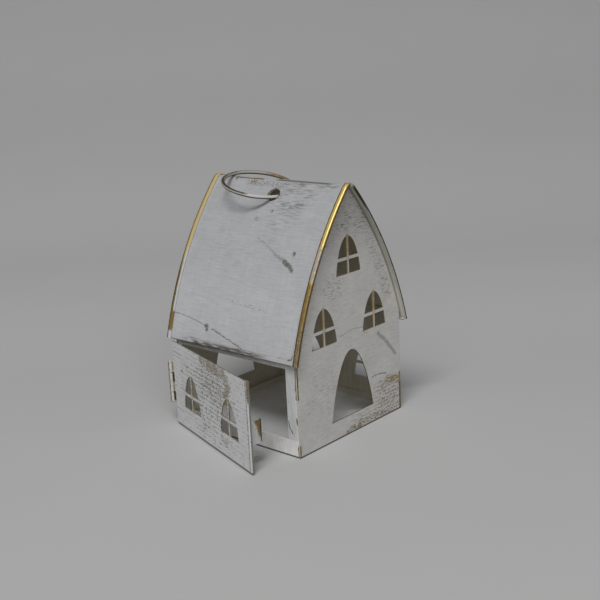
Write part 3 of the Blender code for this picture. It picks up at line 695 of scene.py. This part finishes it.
def ring_material():
    """The wire: painted, with dark metal below and along the top, and bronze at two ends."""
    g = Graph("ring_wire")
    speck = g.noise(0.9, detail=2.0)
    long = g.noise(6.0, detail=1.0, seed=3.0)
    brush = g.noise(0.8, detail=2.0, seed=1.0)
    near = g.rise(g.x, 2.0, -2.0) * g.rise(g.y, 8.5, 5.5)
    below = g.rise(g.nz + g.vary(speck, 0.3), -0.10, -0.40) * 0.9
    above = g.rise(g.nz + g.vary(long, 0.2), 0.68, 0.82) * 0.85 * (1.0 - near)
    left = g.rise(g.y, 5.5, 8.5) * g.rise(g.x, 4.0, 0.0) * g.rise(g.nz + g.vary(speck, 0.4), 0.55, 0.75)
    far = g.rise(g.x, 6.0, 9.0) * g.rise(g.y, 27.0, 21.0) * g.rise(speck, 0.34, 0.46)
    bare = g.most(below, above, left, far * 0.85)
    tone = 0.12 + g.vary(speck, 0.3) + left * 0.10 + far * 0.34
    return worn_paint(g, g.mix(near, RING_GREY, RING_WHITE), brush, bare, tone)


def tray_material():
    """The floor tray: plain brushed paint, greyer and pale on the flat, partly as painted light, darker on
    the door's side as painted shade and lighter towards the middle as painted light.
    """
    g = Graph("tray_paint")
    brush = g.noise(0.9, stretch=(1.0, 8.0, 1.0), detail=3.0)
    flat = g.rise(g.nz, 0.6, 0.9) * g.rise(g.z, 3.0, 2.0)
    paint = g.mix(flat, INSIDE, TRAY_GREY_AND_PAINTED_LIGHT)
    # Painted shade on the door's side and painted light towards the middle
    paint = g.vector("SCALE", paint, scale=0.74 + g.rise(g.x, -34.0, -4.0) * 0.32)
    return g.finish(brushed(g, paint, brush), 0.0, PAINT_ROUGHNESS, brush * 0.4)


def make_camera():
    yaw, pitch, roll = (math.radians(a) for a in (CAMERA_YAW, CAMERA_PITCH, CAMERA_ROLL))
    ahead = Vector((math.sin(yaw), math.cos(yaw), 0.0))
    forward = ahead * math.cos(pitch) - Vector((0.0, 0.0, math.sin(pitch)))
    right = Vector((math.cos(yaw), -math.sin(yaw), 0.0))
    down = forward.cross(right)
    side = right * math.cos(roll) + down * math.sin(roll)
    below = down * math.cos(roll) - right * math.sin(roll)
    camera = bpy.data.objects.new("camera", bpy.data.cameras.new("camera"))
    camera.data.lens = LENS
    camera.data.sensor_width = SENSOR_WIDTH
    camera.data.clip_start = CLIP_START
    turn = Matrix((side, -below, -forward)).transposed().to_4x4()
    camera.matrix_world = Matrix.Translation(CAMERA_PLACE) @ turn
    bpy.context.scene.collection.objects.link(camera)
    bpy.context.scene.camera = camera


def direction(azimuth, elevation):
    """Unit vector towards a place at that azimuth, where 0 is the front and -90 the left."""
    a, e = math.radians(azimuth), math.radians(elevation)
    return Vector((math.sin(a) * math.cos(e), -math.cos(a) * math.cos(e), math.sin(e)))


def make_lamp(name, azimuth, elevation, width, height, turn, power):
    light = bpy.data.lights.new(name, "AREA")
    light.shape = "ELLIPSE"
    light.size = width
    light.size_y = height
    light.energy = power
    lamp = bpy.data.objects.new(name, light)
    toward = direction(azimuth, elevation)
    lamp.location = Vector(LAMP_TARGET) + toward * LAMP_DISTANCE
    lamp.rotation_mode = "QUATERNION"
    spin = Quaternion((0.0, 0.0, 1.0), math.radians(turn))
    lamp.rotation_quaternion = (-toward).to_track_quat("-Z", "Y") @ spin
    bpy.context.scene.collection.objects.link(lamp)


def make_sky():
    world = bpy.data.worlds.new("sky")
    world.use_nodes = True
    background = world.node_tree.nodes["Background"]
    background.inputs["Color"].default_value = (1.0, 1.0, 1.0, 1.0)
    background.inputs["Strength"].default_value = SKY_STRENGTH
    bpy.context.scene.world = world


def bend_up(distance, bend_start, radius, slope):
    """Height of a level sheet that bends up past bend_start and then rises at a slope in degrees."""
    past = distance - bend_start
    if past <= 0.0:
        return 0.0
    angle = math.radians(slope)
    bend_length = radius * math.sin(angle)
    if past < bend_length:
        return radius - math.sqrt(radius ** 2 - past ** 2)
    return radius * (1.0 - math.cos(angle)) + (past - bend_length) * math.tan(angle)


def make_stage():
    """A pale floor that curves up on every side, close behind the object and far off elsewhere."""
    yaw = math.radians(CAMERA_YAW)
    ahead = Vector((math.sin(yaw), math.cos(yaw), 0.0))
    across = Vector((math.cos(yaw), -math.sin(yaw), 0.0))
    outer_width = STAGE_REACH - SIDE_BEND[0]
    outer = [SIDE_BEND[0] + outer_width * i / SIDE_STEPS for i in range(SIDE_STEPS + 1)]
    bend = [BACKDROP_BEND[0] + BACKDROP_BEND_DEPTH * i / BACKDROP_STEPS for i in range(BACKDROP_STEPS + 1)]
    before = [-d for d in reversed(outer)]
    depths = before + [-ROW_STEP, 0.0] + bend + [ROW_STEP, 2 * ROW_STEP] + outer
    sides = before + [-ROW_STEP, 0.0, ROW_STEP] + outer
    points = []
    for depth in depths:
        for side in sides:
            height = bend_up(depth, *BACKDROP_BEND) + bend_up(-depth, *SIDE_BEND)
            height += bend_up(abs(side), *SIDE_BEND)
            points.append(ahead * depth + across * side + Vector((0.0, 0.0, height)))
    count = len(sides)
    faces = []
    for i in range(len(depths) - 1):
        for j in range(count - 1):
            corner = i * count + j
            faces.append((corner, corner + 1, corner + count + 1, corner + count))
    mesh = bpy.data.meshes.new("stage")
    mesh.from_pydata([tuple(p) for p in points], [], faces)
    mesh.shade_smooth()
    stage = bpy.data.objects.new("stage", mesh)
    stage.data.materials.append(stage_material(ahead))
    bpy.context.scene.collection.objects.link(stage)


def stage_material(ahead):
    """The floor's cloth, with painted light and shade: a little paler just behind the object, darker
    up the backdrop and paler again far off, where little light falls."""
    g = Graph("stage_cloth_and_painted_light")
    depth = g.x * ahead.x + g.y * ahead.y
    level = 1.0 + g.vary(g.noise(60.0, detail=2.0), 0.03)
    # Painted light and shade: the tone changes behind the object and with distance all round
    for start, end, change in FLOOR_PAINTED_LIGHT_TONES:
        level = level + g.rise(depth, start, end) * change
    start, end, change = FAR_FLOOR_PAINTED_LIGHT
    level = level + g.rise(g.length(g.place), start, end) * change
    colour = g.vector("SCALE", (FLOOR_ALBEDO, FLOOR_ALBEDO, FLOOR_ALBEDO), scale=level)
    return g.finish(colour, 0.0, FLOOR_ROUGHNESS)


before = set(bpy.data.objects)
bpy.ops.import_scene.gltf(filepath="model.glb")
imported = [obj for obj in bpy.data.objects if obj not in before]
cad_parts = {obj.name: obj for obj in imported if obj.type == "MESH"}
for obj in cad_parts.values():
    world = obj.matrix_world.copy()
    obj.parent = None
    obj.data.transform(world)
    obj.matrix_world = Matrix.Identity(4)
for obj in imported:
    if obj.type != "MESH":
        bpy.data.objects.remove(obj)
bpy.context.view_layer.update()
bpy.context.scene.view_settings.view_transform = "Standard"
make_camera()
make_lamp("key", *KEY_LAMP)
make_lamp("fill", *FILL_LAMP)
make_lamp("front", *FRONT_LAMP)
make_sky()
make_stage()
dress("roof_sheet", roof_material())
dress("front_verge_strip", front_strip_material())
dress("rear_verge_strip", rear_strip_material())
dress("front_gable", gable_material("front_gable_paint", -1.0, (0.0, 0.0, 0.0), 1.0))
dress("rear_gable", gable_material("rear_gable_paint", 1.0, (7.0, 3.0, 1.0), 0.0))
dress("door_side_wall", side_wall_material("door_wall_paint", -1.0, (0.0, 0.0, 0.0), PAINTED_LIGHT_WHITE))
dress("window_side_wall", side_wall_material("window_wall_paint", 1.0, (4.0, 6.0, 2.0), WHITE))
dress("floor_tray", tray_material())
dress("door_panel", door_material())
dress("door_catch", catch_material())
dress("wall_hinge_leaf", hinge_material("wall_hinge_paint", (0.0, 0.0, 0.0)))
dress("door_hinge_leaf", hinge_material("door_hinge_paint", (3.0, 2.0, 1.0)))
dress("hinge_pin", hinge_material("pin_paint", (1.0, 5.0, 3.0)))
dress("hanging_ring", ring_material())
